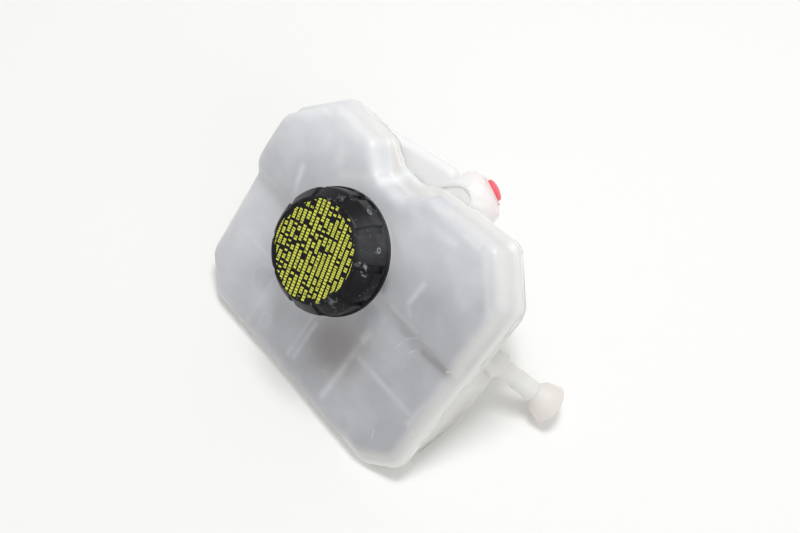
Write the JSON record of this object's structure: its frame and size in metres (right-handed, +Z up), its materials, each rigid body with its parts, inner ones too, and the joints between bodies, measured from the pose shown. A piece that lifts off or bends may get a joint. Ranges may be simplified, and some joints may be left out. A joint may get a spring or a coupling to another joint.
{
  "type": "brake fluid reservoir",
  "caption": "Two-shell moulded brake fluid tank with lobed screw cap, strainer, level float and sensor, outlet spigots, side nozzle and plugged port.",
  "frame": {"origin": "on the front outlet spigot's axis, at its shoulder", "axes": "+Z is up as fitted in the car, along the cap's axis; -Z is the way the spigots leave; +X runs along the tank's length towards the hose nozzle; +Y points to the side with the recess and the red plug"},
  "size_m": [0.1729, 0.1247, 0.093],
  "materials": {
    "upper_shell": "natural milky polypropylene, satin",
    "lower_shell": "natural milky polypropylene, satin, slightly creamy",
    "cap": "black semi-gloss moulded plastic with yellow print marks",
    "rubber": "black moulded rubber",
    "inner_plastic": "white moulded plastic",
    "mesh": "fine polyamide mesh",
    "foam": "closed-cell float foam",
    "magnet": "sintered ring magnet",
    "plug": "glossy red moulded plug",
    "sensor": "black glass-filled plastic",
    "reed_glass": "clear greenish glass",
    "contact_metal": "tinned contact metal"
  },
  "bodies": {
    "tank": {"upper_shell": "upper_shell", "lower_shell": "lower_shell", "strainer_basket": "inner_plastic", "strainer_mesh": "mesh", "port_plug": "plug", "sensor_body": "sensor", "sensor_seal": "rubber", "reed_capsule": "reed_glass", "reed_lead_1": "contact_metal", "reed_lead_2": "contact_metal", "sensor_terminal_1": "contact_metal", "sensor_terminal_2": "contact_metal"},
    "diaphragm": {"cap_seal": "rubber", "seal_retainer": "inner_plastic"},
    "cap": {"filler_cap": "cap"},
    "float": {"level_float": "foam", "float_magnet": "magnet"}
  },
  "joints": [
    {"name": "cap_lift", "type": "slide", "parent": "tank", "child": "diaphragm", "axis": [0, 0, 1], "range_m": [0, 0.006]},
    {"name": "cap_turn", "type": "hinge", "parent": "diaphragm", "child": "cap", "pos_m": [-0.028, 0, 0.057], "axis": [0, 0, 1], "range_deg": [0, 540]},
    {"name": "float_rise", "type": "slide", "parent": "tank", "child": "float", "axis": [0, 0, 1], "range_m": [0, 0.0105]}
  ],
  "couplings": [
    {"joint": "cap_lift", "follows": "cap_turn", "m_per_rad": 0.00063662}
  ]
}
